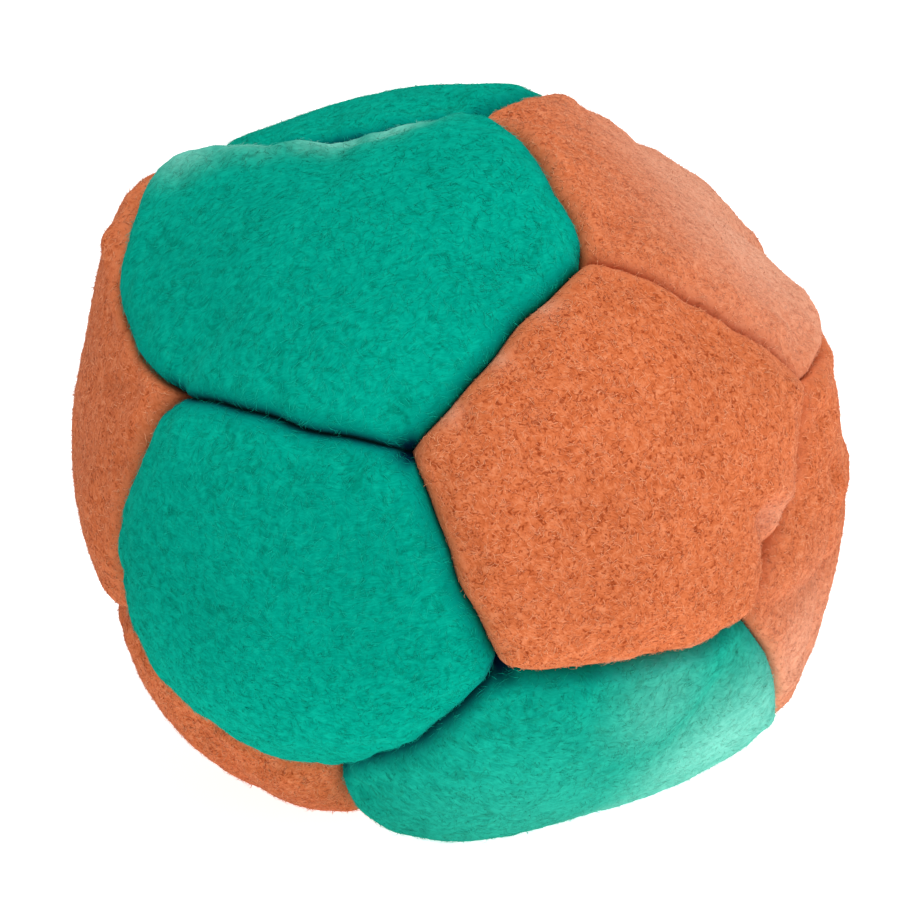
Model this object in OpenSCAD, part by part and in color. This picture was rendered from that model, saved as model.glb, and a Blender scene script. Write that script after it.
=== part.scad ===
// Twelve-panel juggling ball: twelve five-sided cloth panels sewn edge to edge round loose seed.
// A corner of three panels is on top, and the ball has settled on the corner below it.
// The origin is the middle of the patch that it stands on, with +Z up.

/* [Ball] */
// Distance from the crown of one panel to the crown of the opposite one
ball_d = 66; // [54:1:80]
// How far each panel's dome is centred out from the middle of the ball: more gives deeper seams
puff = 8; // [4:0.5:9]
// How far the ball has settled on its lowest corner
settle = 2; // [1:0.25:3]

/* [Cloth] */
// Thickness of the brushed cloth
cloth_t = 1.2; // [0.8:0.1:1.8]
// Cloth turned inside at a seam, from the stitches to the cut edge
allowance = 4.5; // [3:0.5:6]
// Room between the two cloths of a seam
seam_gap = 0.1; // [0.06:0.02:0.2]

/* [Thread] */
// Diameter of the sewing thread
thread_d = 0.35; // [0.25:0.05:0.5]
// Length of one stitch
stitch_l = 2.2; // [1.6:0.1:3.5]
// How far under the fold of the cloth the stitches run
stitch_drop = 0.6; // [0.5:0.1:1]
// Cloth without stitches at each end of a seam
corner_room = 1.4; // [1:0.1:2]
// Room round the thread in its needle hole
needle_gap = 0.06; // [0.04:0.02:0.1]
// Diameter of the knots that end the closing thread
knot_d = 1.0; // [0.8:0.1:1.2]

/* [Filling] */
// Room between the seed and the cloth and thread round it
fill_gap = 0.3; // [0.2:0.1:0.6]

/* [Hidden] */
$fn = 96;
thread_sides = 8;
TEAL = [0.00, 0.58, 0.48];
ORANGE = [0.86, 0.44, 0.26];
NAVY = [0.08, 0.12, 0.24];
STRAW = [0.84, 0.72, 0.44];

// A regular dodecahedron's angles, as seen from its middle
sides = 5;
side_step = 360 / sides;
neighbour_angle = atan(2);                              // one panel's axis to the next one's
edge_angle = neighbour_angle / 2;                       // a panel's axis to the middle of its edge
corner_angle = acos(sqrt((5 + 2 * sqrt(5)) / 15));      // a panel's axis to its corner

// The panels stand in four rows of three: row angle from +Z, first azimuth, turn about its own axis
ROWS = [
    [corner_angle, 0, 0],
    [180 - corner_angle - neighbour_angle, 60, 0],
    [corner_angle + neighbour_angle, 0, side_step / 2],
    [180 - corner_angle, 60, side_step / 2],
];
row_count = 3;
row_step = 360 / row_count;

// Each panel: its row, its place in the row and its colour
TOP_RIGHT = [0, 0, ORANGE];
TOP_BACK = [0, 1, TEAL];
TOP_FRONT = [0, 2, TEAL];
UPPER_BACK = [1, 0, TEAL];
UPPER_LEFT = [1, 1, ORANGE];
UPPER_FRONT = [1, 2, ORANGE];
LOWER_RIGHT = [2, 0, ORANGE];
LOWER_BACK = [2, 1, ORANGE];
LOWER_FRONT = [2, 2, TEAL];
BOTTOM_BACK = [3, 0, TEAL];
BOTTOM_LEFT = [3, 1, ORANGE];
BOTTOM_FRONT = [3, 2, TEAL];
PANELS = [
    TOP_RIGHT, TOP_BACK, TOP_FRONT, UPPER_BACK, UPPER_LEFT, UPPER_FRONT,
    LOWER_RIGHT, LOWER_BACK, LOWER_FRONT, BOTTOM_BACK, BOTTOM_LEFT, BOTTOM_FRONT,
];

// Each half is a hub panel with five petals round it, in order. The petals of both halves make a zigzag belt.
FRONT_HUB = TOP_FRONT;
FRONT_PETALS = [LOWER_FRONT, UPPER_FRONT, TOP_RIGHT, TOP_BACK, UPPER_LEFT];
BACK_HUB = BOTTOM_BACK;
BACK_PETALS = [BOTTOM_FRONT, LOWER_RIGHT, UPPER_BACK, LOWER_BACK, BOTTOM_LEFT];
BELT = [
    TOP_BACK, UPPER_BACK, TOP_RIGHT, LOWER_RIGHT, UPPER_FRONT,
    BOTTOM_FRONT, LOWER_FRONT, BOTTOM_LEFT, UPPER_LEFT, LOWER_BACK,
];

// The domes and the shell
dome_r = ball_d / 2 - puff;
inner_dome_r = dome_r - cloth_t;
dome_side = puff * sin(edge_angle);                     // a dome's centre to the plane of a seam
dome_up = puff * cos(edge_angle);                       // the same centre's height in that plane
rest_z = puff * cos(corner_angle) + dome_r - settle;    // the middle of the ball above the floor
wall_in = seam_gap / 2 + cloth_t;                       // a seam's plane to the inner face of its cloth

// The stitch line: an arc in the plane of each seam
thread_x = wall_in + thread_d / 2;
stitch_low = cloth_t + stitch_drop + thread_d / 2;      // the lowest that a stitch lies above the floor
stitch_dome_r = inner_dome_r - stitch_drop;
stitch_r = sqrt(pow(stitch_dome_r, 2) - pow(dome_side - thread_x, 2));
allowance_r = dome_up + stitch_r - allowance;           // the cut edges lie on a ball of this radius
wedge_low = allowance_r * cos(corner_angle) / 2;
corner_puff = puff - thread_x / sin(edge_angle);
corner_len = corner_puff * cos(corner_angle)
    + sqrt(pow(stitch_dome_r, 2) - pow(corner_puff * sin(corner_angle), 2));
corner_y = corner_len * sin(corner_angle) * sin(side_step / 2);
corner_turn = asin(corner_y / stitch_r);
turn_per_mm = 180 / (PI * stitch_r);
stitch_count = floor((2 * corner_turn / turn_per_mm - 2 * corner_room) / stitch_l);
stitch_turn = stitch_l * turn_per_mm;
end_turn = stitch_count * stitch_turn / 2;

function row_angle(p) = ROWS[p[0]][0];
function azimuth(p) = ROWS[p[0]][1] + row_step * p[1];
function own_turn(p) = ROWS[p[0]][2];
function level_of(p) = [cos(azimuth(p)), sin(azimuth(p)), 0];
function axis_of(p) = sin(row_angle(p)) * level_of(p) + [0, 0, cos(row_angle(p))];

// The direction from a panel's axis to the middle of its edge number i
function down_of(p) = cos(row_angle(p)) * level_of(p) - [0, 0, sin(row_angle(p))];
function along_of(p) = [-sin(azimuth(p)), cos(azimuth(p)), 0];
function edge_turn(p, i) = own_turn(p) + side_step * i;
function edge_of(p, i) = down_of(p) * cos(edge_turn(p, i)) + along_of(p) * sin(edge_turn(p, i));

// The number of the edge of panel p that panel q is sewn to
function shared_edge(p, q) = [for (i = [0:sides - 1]) if (edge_of(p, i) * axis_of(q) > 0.8) i][0];
function next_edge(i) = (i + 1) % sides;

// The direction of +Z in the frame of edge i of panel p, as at_edge turns it
function up_of(p, i) =
    let (out = edge_of(p, i).z, axis = axis_of(p).z, along = cross(axis_of(p), edge_of(p, i)).z)
    [out * cos(edge_angle) - axis * sin(edge_angle), along, out * sin(edge_angle) + axis * cos(edge_angle)];

// A point on the stitch line, in the frame of an edge, at side x of the seam's plane
function stitch_point(x, turn) = [x, stitch_r * sin(turn), dome_up + stitch_r * cos(turn)];
function hole_turn(j) = j * stitch_turn - end_turn;

// The same point, pushed up where the ball has settled on the seam
function settled(point, up) = point + up * max(0, stitch_low - rest_z - point * up);

// Puts its children, drawn with a panel's axis along +Z, in that panel's place
module at_panel(p) {
    translate([0, 0, rest_z]) rotate([0, row_angle(p), azimuth(p)]) rotate(own_turn(p)) children();
}

// Puts its children in the frame of one edge: the seam's plane is x = 0 and the panel is on the -x side
module at_edge(i) {
    rotate(side_step * i) rotate([0, edge_angle, 0]) children();
}

// A ball whose poles and seam line lie away from +Z, so that none of them runs through a panel
module side_on_ball(r) {
    rotate([0, 90, 0]) sphere(r);
}

// The part of the ball that one panel covers, up to a dome of radius r, its sides moved in by inset.
// It starts at wedge_low, well above the point where its five sides would meet.
module dome_wedge(r, inset) {
    difference() {
        intersection() {
            translate([0, 0, puff]) side_on_ball(r);
            above(wedge_low);
        }
        for (i = [0:sides - 1])
            at_edge(i) translate([-inset, -ball_d, wedge_low / 2]) cube(2 * ball_d);
    }
}

// All that is higher than h
module above(h) {
    translate([-ball_d, -ball_d, h]) cube(2 * ball_d);
}

// A straight piece of thread, or of the hole for one, from point a to point b
module rod(a, b, d = thread_d) {
    v = b - a;
    translate(a) rotate([0, acos(v.z / norm(v)), atan2(v.y, v.x)])
        cylinder(h = norm(v), d = d, $fn = thread_sides);
}

module needle_holes(p) {
    past = seam_gap / 4;
    for (i = [0:sides - 1], j = [0:stitch_count])
        at_edge(i) rod(
            settled(stitch_point(-wall_in - past, hole_turn(j)), up_of(p, i)),
            settled(stitch_point(-past, hole_turn(j)), up_of(p, i)),
            thread_d + 2 * needle_gap
        );
}

// One panel: a dome of cloth whose five edges are turned in, and flattened where it meets the floor
module panel(p) {
    color(p[2])
        difference() {
            intersection() {
                at_panel(p) dome_wedge(dome_r, seam_gap / 2);
                above(0);
            }
            intersection() {
                at_panel(p) dome_wedge(inner_dome_r, wall_in);
                above(cloth_t);
            }
            at_panel(p) side_on_ball(allowance_r);
            at_panel(p) needle_holes(p);
        }
}

// Puts its children in the frame of the seam between panels p and q
module at_seam(p, q) {
    at_panel(p) at_edge(shared_edge(p, q)) children();
}

function hole_point(side, j, up) = settled(stitch_point(side * thread_x, hole_turn(j)), up);

module through_stitch(j, up) {
    rod(hole_point(-1, j, up), hole_point(1, j, up));
}

module long_stitch(side, j, up) {
    rod(hole_point(side, j, up), hole_point(side, j + 1, up));
}

// A machined seam: needle and bobbin thread on both faces, locked through the cloth at every hole
module machined_seam(p, q) {
    up = up_of(p, shared_edge(p, q));
    at_seam(p, q) {
        for (j = [0:stitch_count]) through_stitch(j, up);
        for (j = [0:stitch_count - 1], side = [-1, 1]) long_stitch(side, j, up);
    }
}

// The thread's way round the corner of panel p, from its seam with q to its seam with r
module corner_link(p, q, r) {
    i = shared_edge(p, q);
    j = shared_edge(p, r);
    before = next_edge(i) == j ? i : j;
    up = up_of(p, before);
    end = settled(stitch_point(-thread_x, end_turn), up);
    corner = settled(stitch_point(-thread_x, corner_turn), up);
    at_panel(p) rotate(side_step * before) {
        half_link(end, corner);
        rotate(side_step) mirror([0, 1, 0]) half_link(end, corner);
    }
}

module half_link(end, corner) {
    rotate([0, edge_angle, 0]) rod(end, corner);
}

// The seam right round a hub panel, in one run of thread
module hub_thread(hub, petals) {
    color(NAVY)
        for (i = [0:sides - 1]) {
            machined_seam(hub, petals[i]);
            corner_link(hub, petals[i], petals[next_edge(i)]);
        }
}

// The seam between a petal and the next one
module side_thread(petals, i) {
    color(NAVY) machined_seam(petals[i], petals[next_edge(i)]);
}

// The zigzag seam that joins the two halves, all but its last side
module belt_thread() {
    last = len(BELT) - 1;
    color(NAVY) {
        for (i = [0:last - 1]) machined_seam(BELT[i], BELT[i + 1]);
        for (i = [1:last - 1]) corner_link(BELT[i], BELT[i - 1], BELT[i + 1]);
    }
}

// The side of the belt that the seed went in by, closed by hand: the thread changes cloth at every hole
module closing_thread() {
    last = len(BELT) - 1;
    up = up_of(BELT[last], shared_edge(BELT[last], BELT[0]));
    color(NAVY)
        at_seam(BELT[last], BELT[0]) {
            for (j = [0:stitch_count]) through_stitch(j, up);
            for (j = [0:stitch_count - 1]) long_stitch(j % 2 == 0 ? 1 : -1, j, up);
            at_knots(up) sphere(d = knot_d);
        }
}

// The closing thread's two knots, one at each end of its seam, flat against the cloth
module at_knots(up) {
    for (j = [0, stitch_count])
        translate(hole_point(-1, j, up) + [(thread_d - knot_d) / 2, 0, 0]) children();
}

// The room that the knots press into the seed
module knot_room() {
    last = len(BELT) - 1;
    up = up_of(BELT[last], shared_edge(BELT[last], BELT[0]));
    at_seam(BELT[last], BELT[0]) at_knots(up) sphere(d = knot_d + 2 * fill_gap);
}

// The seed as one mass: a part under each panel, and a twelve-sided middle inside the turned-in edges
module seed_filling() {
    middle_flat = (allowance_r - fill_gap) * cos(corner_angle);
    color(STRAW)
        difference() {
            intersection() {
                union() {
                    intersection_for (p = PANELS)
                        at_panel(p) translate([-ball_d, -ball_d, middle_flat - 2 * ball_d]) cube(2 * ball_d);
                    for (p = PANELS)
                        at_panel(p) dome_wedge(inner_dome_r - fill_gap, wall_in + thread_d + fill_gap);
                }
                above(cloth_t + fill_gap);
            }
            knot_room();
        }
}

panel(TOP_FRONT);  // top_front_panel
panel(TOP_RIGHT);  // top_right_panel
panel(TOP_BACK);  // top_back_panel
panel(UPPER_FRONT);  // upper_front_panel
panel(UPPER_LEFT);  // upper_left_panel
panel(UPPER_BACK);  // upper_back_panel
panel(LOWER_FRONT);  // lower_front_panel
panel(LOWER_RIGHT);  // lower_right_panel
panel(LOWER_BACK);  // lower_back_panel
panel(BOTTOM_FRONT);  // bottom_front_panel
panel(BOTTOM_LEFT);  // bottom_left_panel
panel(BOTTOM_BACK);  // bottom_back_panel
hub_thread(FRONT_HUB, FRONT_PETALS);  // front_hub_thread
hub_thread(BACK_HUB, BACK_PETALS);  // back_hub_thread
side_thread(FRONT_PETALS, 0);  // front_side_thread_1
side_thread(FRONT_PETALS, 1);  // front_side_thread_2
side_thread(FRONT_PETALS, 2);  // front_side_thread_3
side_thread(FRONT_PETALS, 3);  // front_side_thread_4
side_thread(FRONT_PETALS, 4);  // front_side_thread_5
side_thread(BACK_PETALS, 0);  // back_side_thread_1
side_thread(BACK_PETALS, 1);  // back_side_thread_2
side_thread(BACK_PETALS, 2);  // back_side_thread_3
side_thread(BACK_PETALS, 3);  // back_side_thread_4
side_thread(BACK_PETALS, 4);  // back_side_thread_5
belt_thread();
closing_thread();
seed_filling();
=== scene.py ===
# %% Load the ball's frame
import math

import bmesh
import bpy
import numpy as np
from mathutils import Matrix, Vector, noise
from mathutils.bvhtree import BVHTree


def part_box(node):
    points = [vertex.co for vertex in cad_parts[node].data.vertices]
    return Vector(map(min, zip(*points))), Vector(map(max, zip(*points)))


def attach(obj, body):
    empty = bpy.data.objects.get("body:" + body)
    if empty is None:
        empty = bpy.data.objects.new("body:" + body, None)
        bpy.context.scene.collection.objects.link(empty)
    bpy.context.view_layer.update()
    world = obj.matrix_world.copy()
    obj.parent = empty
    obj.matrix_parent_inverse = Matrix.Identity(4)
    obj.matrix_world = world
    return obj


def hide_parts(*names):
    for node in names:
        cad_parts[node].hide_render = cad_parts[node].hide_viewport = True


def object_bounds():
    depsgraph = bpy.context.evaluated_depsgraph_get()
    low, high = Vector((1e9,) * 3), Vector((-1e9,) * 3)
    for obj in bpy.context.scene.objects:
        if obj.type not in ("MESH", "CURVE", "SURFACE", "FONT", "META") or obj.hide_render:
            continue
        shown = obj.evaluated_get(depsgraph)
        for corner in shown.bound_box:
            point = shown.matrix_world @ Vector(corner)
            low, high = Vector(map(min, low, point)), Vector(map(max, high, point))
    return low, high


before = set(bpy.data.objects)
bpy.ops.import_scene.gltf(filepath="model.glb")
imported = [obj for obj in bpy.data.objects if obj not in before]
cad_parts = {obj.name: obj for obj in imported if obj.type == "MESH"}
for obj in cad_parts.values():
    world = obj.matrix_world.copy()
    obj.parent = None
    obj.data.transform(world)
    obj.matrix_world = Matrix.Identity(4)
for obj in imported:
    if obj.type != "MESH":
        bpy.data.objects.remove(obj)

MM = 0.001
cad_low, cad_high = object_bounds()
print("the ball's box, mm:", [round(side / MM, 1) for side in cad_high - cad_low])

# %% [markdown]
# ## Where things are
# The frame knows the ball only as a stack of panels, threads and seed. Two of its threads, the belt and the
# closing stitch, run right round the ball as a zigzag that looks the same from either side, so the middle of
# their box is the middle of the ball. Everything below is measured from that middle.

# %% The middle of the ball
belt_boxes = [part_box("belt_thread"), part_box("closing_thread")]
belt_low = min(low.z for low, high in belt_boxes)
belt_high = max(high.z for low, high in belt_boxes)
MIDDLE = np.array([0.0, 0.0, (belt_low + belt_high) / 2])
BALL_R = (cad_high.x - cad_low.x) / 2
CLOTH_T = 1.2 * MM
print("middle of the ball at", round(MIDDLE[2] / MM, 1), "mm, radius", round(BALL_R / MM, 1), "mm")

# %% [markdown]
# ## The camera
# A small object looks its size when it is seen from an arm's length through a long lens. The camera stands a
# third of a metre away, looks down a little on the ball, and is aimed at its middle.

# %% Camera
VIEW_AZIMUTH = math.radians(2.4)
VIEW_ELEVATION = math.radians(19.3)
VIEW_DISTANCE = 370 * MM

towards = Vector((
    math.cos(VIEW_ELEVATION) * math.sin(VIEW_AZIMUTH),
    -math.cos(VIEW_ELEVATION) * math.cos(VIEW_AZIMUTH),
    math.sin(VIEW_ELEVATION),
))
camera_data = bpy.data.cameras.new("camera")
camera_data.lens = 170
camera = bpy.data.objects.new("camera", camera_data)
bpy.context.scene.collection.objects.link(camera)
aim = Vector(MIDDLE) + Vector((-0.3, 0, 0.2)) * MM
camera.location = aim + towards * VIEW_DISTANCE
camera.rotation_euler = (-towards).to_track_quat("-Z", "Y").to_euler()
bpy.context.scene.camera = camera
print("camera at", [round(v, 3) for v in camera.location])

# %% [markdown]
# ## Paper and light
# The ball stands on white paper lit from below, as on a light table, so it throws no shadow and its underside
# is bright. The paper glows more on the right, which lightens the lower right panels. A big soft lamp overhead
# does the rest: brushed cloth has no highlight of its own, so a hard lamp would add nothing.

# %% Floor, sky and lamps
PAPER_SIZE = 6
SKY_STRENGTH = 0.4
GLOW = {"From Min": -0.1, "From Max": 0.12, "To Min": 0.62, "To Max": 1.45}


def white_paper():
    """Paper on a light table: white, and glowing by itself, more on the right than on the left."""
    paper = bpy.data.materials.new("white_paper")
    paper.use_nodes = True
    shader = paper.node_tree.nodes["Principled BSDF"]
    shader.inputs["Base Color"].default_value = (0.7, 0.7, 0.7, 1)
    shader.inputs["Roughness"].default_value = 0.9
    shader.inputs["Specular IOR Level"].default_value = 0
    shader.inputs["Emission Color"].default_value = (1, 1, 1, 1)
    nodes, links = paper.node_tree.nodes, paper.node_tree.links
    place = nodes.new("ShaderNodeTexCoord")
    across = nodes.new("ShaderNodeSeparateXYZ")
    glow = nodes.new("ShaderNodeMapRange")
    glow.interpolation_type = "SMOOTHSTEP"
    for name, value in GLOW.items():
        glow.inputs[name].default_value = value
    links.new(place.outputs["Object"], across.inputs["Vector"])
    links.new(across.outputs["X"], glow.inputs["Value"])
    links.new(glow.outputs["Result"], shader.inputs["Emission Strength"])
    return paper


def area_lamp(name, place, size, power):
    lamp_data = bpy.data.lights.new(name, "AREA")
    lamp_data.size = size
    lamp_data.energy = power
    lamp = bpy.data.objects.new(name, lamp_data)
    bpy.context.scene.collection.objects.link(lamp)
    lamp.location = Vector(MIDDLE) + Vector(place)
    lamp.rotation_euler = (-Vector(place)).to_track_quat("-Z", "Y").to_euler()
    return lamp


bpy.ops.object.select_all(action="DESELECT")
bpy.ops.mesh.primitive_plane_add(size=PAPER_SIZE)
floor = bpy.context.object
floor.name = "floor"
floor.data.materials.append(white_paper())

world = bpy.data.worlds.new("studio")
world.use_nodes = True
world.node_tree.nodes["Background"].inputs["Color"].default_value = (1, 1, 1, 1)
world.node_tree.nodes["Background"].inputs["Strength"].default_value = SKY_STRENGTH
bpy.context.scene.world = world
bpy.context.scene.view_settings.view_transform = "Standard"
area_lamp("window", (0.08, -0.2, 0.75), 0.5, 4.9)
area_lamp("right_fill", (0.6, 0.05, 0.1), 0.4, 0.1)

# %% [markdown]
# ## The pattern of seams
# Twelve equal five-sided panels close into a ball, a dodecahedron with its faces blown out. Each panel has an
# axis from the middle of the ball, three panels meet at each corner, and the corners follow from the axes.
# A sewn ball is never regular, so single corners are then nudged, and single seams bowed sideways.

# %% Axes of the panels
CORNER_ANGLE = math.acos(math.sqrt((5 + 2 * math.sqrt(5)) / 15))
NEIGHBOUR_ANGLE = math.atan(2)
ROWS = {
    "top": (CORNER_ANGLE, 0),
    "upper": (math.pi - CORNER_ANGLE - NEIGHBOUR_ANGLE, 60),
    "lower": (CORNER_ANGLE + NEIGHBOUR_ANGLE, 0),
    "bottom": (math.pi - CORNER_ANGLE, 60),
}
PLACES = {0: "right", 60: "back", 120: "back", 180: "left", 240: "front", 300: "front"}


def axes_of_panels():
    axes = {}
    for row, (row_angle, first) in ROWS.items():
        for azimuth in range(first, 360, 120):
            turn = math.radians(azimuth)
            axes[f"{row}_{PLACES[azimuth]}"] = np.array([
                math.sin(row_angle) * math.cos(turn),
                math.sin(row_angle) * math.sin(turn),
                math.cos(row_angle),
            ])
    return axes


AXES = axes_of_panels()
TEAL_PANELS = {"top_front", "top_back", "upper_back", "lower_front", "bottom_front", "bottom_back"}


def slot_of(panel):
    return "teal_cloth" if panel in TEAL_PANELS else "orange_cloth"


print(len(AXES), "panels:", ", ".join(AXES))


# %% Neighbours and corners
def unit(vectors):
    return vectors / np.linalg.norm(vectors, axis=-1, keepdims=True)


def side_axes(panel):
    """Two directions across a panel: towards its first neighbour, and the one a quarter turn on."""
    first = next(q for q in AXES if 0.3 < AXES[panel] @ AXES[q] < 0.6)
    across = unit(AXES[first] - AXES[panel] * (AXES[first] @ AXES[panel]))
    return across, np.cross(AXES[panel], across)


def neighbours_of(panel):
    """The five neighbours in turn, anticlockwise as seen from outside."""
    across, along = side_axes(panel)
    touching = [q for q in AXES if 0.3 < AXES[panel] @ AXES[q] < 0.6]
    return sorted(touching, key=lambda q: round(math.atan2(AXES[q] @ along, AXES[q] @ across) % math.tau, 4))


NEIGHBOURS = {panel: neighbours_of(panel) for panel in AXES}

# %% The corners, nudged one by one
SEAM_R = 30.9 * MM
SEAM_MIDDLE = MIDDLE + np.array([1.0, 0.0, 1.5]) * MM

# How far single corners lie from a regular ball's: right, back and up, in millimetres
NUDGES = {
    ("top_front", "lower_front", "upper_front"): (0, 0, -1),
    ("top_front", "upper_front", "top_right"): (0, 0, -0.5),
    ("top_front", "top_right", "top_back"): (0.5, 0, -1.5),
    ("top_front", "lower_front", "upper_left"): (-1, 0, 0),
    ("top_front", "top_back", "upper_left"): (-5, 2, 1),
    ("lower_front", "upper_left", "bottom_left"): (-1.5, 0, -2),
    ("lower_front", "bottom_front", "bottom_left"): (-0.5, 0, 0.5),
    ("lower_front", "upper_front", "bottom_front"): (-0.5, 0, 1),
    ("upper_front", "lower_right", "bottom_front"): (0.5, 0.5, 1.5),
    ("upper_front", "top_right", "lower_right"): (1.5, 0, -0.5),
    ("lower_right", "bottom_front", "bottom_back"): (4.5, 0, -3),
}
nudges = {frozenset(key): np.array(move) * MM for key, move in NUDGES.items()}


def corner_point(*panels):
    away = unit(sum(AXES[panel] for panel in panels))
    return SEAM_MIDDLE + away * SEAM_R + nudges.get(frozenset(panels), 0)


# %% [markdown]
# A seam runs from corner to corner along the ball, and a little higher in its middle. `bow` pushes the middle
# sideways, from the first panel of the pair into the second, and two slow waves keep it from looking ruled.

# %% Seams
LONG_WAVE = 0.2
SHORT_WAVE = 0.1

# How much higher than its ends the middle of a seam lies, and how far it bows, in millimetres
SEAM_RISE = 0.5
RISES = {
    ("top_back", "top_front"): -2.0,
    ("lower_right", "upper_front"): -0.7,
    ("bottom_front", "bottom_left"): 1.5,
    ("top_right", "upper_front"): -0.5,
}
BOWS = {
    ("top_front", "upper_left"): 4.0,
    ("top_back", "top_front"): 3.0,
    ("lower_front", "upper_left"): -0.5,
    ("lower_front", "bottom_left"): 1.0,
    ("bottom_front", "bottom_left"): 1.5,
}


def seam_points(panel, neighbour, share):
    """Points on the seam of a pair of panels; share runs from 0 to 1, anticlockwise round panel."""
    pair = sorted((panel, neighbour))
    if pair[0] != panel:
        return seam_points(neighbour, panel, 1 - share)
    ring = NEIGHBOURS[panel]
    place = ring.index(neighbour)
    start = corner_point(panel, neighbour, ring[place - 1]) - MIDDLE
    end = corner_point(panel, neighbour, ring[(place + 1) % 5]) - MIDDLE
    share = share[:, None]
    radius = (1 - share) * np.linalg.norm(start) + share * np.linalg.norm(end)
    points = unit((1 - share) * unit(start) + share * unit(end))
    middle = 4 * share * (1 - share)
    sideways = unit(AXES[neighbour] - AXES[panel])
    bow = BOWS.get((panel, neighbour), 0) - BOWS.get((neighbour, panel), 0)
    phase = 3 * sum(AXES[panel] + 2 * AXES[neighbour])
    wave = LONG_WAVE * np.sin(3 * math.pi * share + phase)
    wave += SHORT_WAVE * np.sin(7 * math.pi * share + 2 * phase)
    rise = RISES.get(tuple(pair), SEAM_RISE)
    return points * (radius + rise * MM * middle) + sideways * (bow + wave) * middle * MM


# %% [markdown]
# ## Cutting a panel
# A panel starts as a flat five-sided piece of cloth: a circle of five corners, filled, and split into an even
# grid. Each point keeps its flat place in an attribute, so that later steps know where on the cloth they are,
# however far the cloth has been bent. The grid is coarse at first: the folds come once it lies on the ball.

# %% The flat piece
COARSE_STEPS = 16
FLAT_R = 20.4 * MM
APOTHEM = math.cos(math.radians(36))


def only(*pieces):
    bpy.ops.object.select_all(action="DESELECT")
    for piece in pieces:
        piece.select_set(True)
    bpy.context.view_layer.objects.active = pieces[0]


def edit(piece, *steps):
    """Selects nothing but what the steps select, runs them in edit mode and comes back."""
    only(piece)
    bpy.ops.object.mode_set(mode="EDIT")
    bpy.ops.mesh.select_all(action="DESELECT")
    for step in steps:
        step()
    bpy.ops.object.mode_set(mode="OBJECT")


def apply_modifier(piece, kind, **settings):
    modifier = piece.modifiers.new(kind.lower(), kind)
    for name, value in settings.items():
        setattr(modifier, name, value)
    only(piece)
    bpy.ops.object.modifier_apply(modifier=modifier.name)


def read(piece, name="position", size=3):
    data = piece.data.attributes[name].data
    values = np.empty(len(data) * size)
    data.foreach_get("vector" if size == 3 else "value", values)
    return values.reshape(-1, size) if size == 3 else values


def write(piece, name, values):
    kind = "FLOAT" if values.ndim == 1 else "FLOAT_VECTOR"
    field = "value" if values.ndim == 1 else "vector"
    attribute = piece.data.attributes.get(name) or piece.data.attributes.new(name, kind, "POINT")
    attribute.data.foreach_set(field, values.ravel())
    piece.data.update()


def piece_from(name, points, faces):
    """A smooth piece from computed points, for what is repeated by the thousand."""
    mesh = bpy.data.meshes.new(name)
    mesh.from_pydata(points.tolist(), [], faces)
    piece = bpy.data.objects.new(name, mesh)
    bpy.context.scene.collection.objects.link(piece)
    only(piece)
    bpy.ops.object.shade_smooth()
    return piece


def repeat_faces(faces, size, count):
    """The faces of one shape of so many points, numbered on for so many copies."""
    return [[corner + size * number for corner in face] for number in range(count) for face in faces]


def split_evenly(cuts):
    bpy.ops.mesh.select_all(action="SELECT")
    bpy.ops.mesh.subdivide(number_cuts=cuts)


def cut_panel(name, steps=COARSE_STEPS):
    bpy.ops.object.select_all(action="DESELECT")
    bpy.ops.mesh.primitive_circle_add(vertices=5, radius=1, fill_type="NGON")
    piece = bpy.context.object
    piece.name = name
    apply_modifier(piece, "SUBSURF", subdivision_type="SIMPLE", levels=1, render_levels=1)
    edit(piece, lambda: split_evenly(steps - 1))
    flat = read(piece)
    corner = np.argmax(np.hypot(flat[:, 0], flat[:, 1]))
    turn = math.radians(36) - math.atan2(flat[corner, 1], flat[corner, 0])
    cos, sin = math.cos(turn), math.sin(turn)
    across = flat[:, 0] * cos - flat[:, 1] * sin
    along = flat[:, 0] * sin + flat[:, 1] * cos
    write(piece, "cut", np.column_stack([across, along, 0 * across]))
    return piece


# %% Laying it on the ball
CROWN_POWER = 2.3

# How much higher or lower than the rest the middle of a panel stands, in millimetres
CROWNS = {
    "top_front": -1.4, "top_right": -4.3, "top_back": -1.6, "upper_left": -0.4, "upper_front": -0.5,
    "lower_front": -0.7, "lower_right": -0.6, "bottom_front": -1.4, "bottom_left": 0.6, "bottom_back": -0.5,
}


def sectors(cut):
    """Which side of the panel a point of the cut faces, how far out it is, and how far along that side."""
    angle = np.arctan2(cut[:, 1], cut[:, 0])
    side = np.round(angle / math.radians(72)).astype(int) % 5
    before = np.radians(72 * side - 36)
    after = np.radians(72 * side + 36)
    wide = np.sin(after - before)
    start_weight = (cut[:, 0] * np.sin(after) - cut[:, 1] * np.cos(after)) / wide
    end_weight = (cut[:, 1] * np.cos(before) - cut[:, 0] * np.sin(before)) / wide
    out = np.clip(start_weight + end_weight, 0, 1)
    share = np.clip(end_weight / np.maximum(start_weight + end_weight, 1e-9), 0, 1)
    return side, out, share


def lay_on_ball(cut, panel):
    """Where points of the flat cut come on the ball, before any fold."""
    side, out, share = sectors(cut)
    seam = np.zeros((len(cut), 3))
    for number, neighbour in enumerate(NEIGHBOURS[panel]):
        mine = side == number
        seam[mine] = seam_points(panel, neighbour, share[mine])
    seam_r = np.linalg.norm(seam, axis=1, keepdims=True)
    out = out[:, None]
    away = unit((1 - out) * AXES[panel] + out * seam / seam_r)
    crown_r = BALL_R + CROWNS.get(panel, 0) * MM
    return MIDDLE + away * (seam_r + (crown_r - seam_r) * (1 - out ** CROWN_POWER))


pieces = {}
for panel in AXES:
    piece = cut_panel(panel + "_cloth")
    write(piece, "position", lay_on_ball(read(piece, "cut"), panel))
    pieces[panel] = piece
print("one panel has", len(piece.data.vertices), "points at first")

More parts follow.
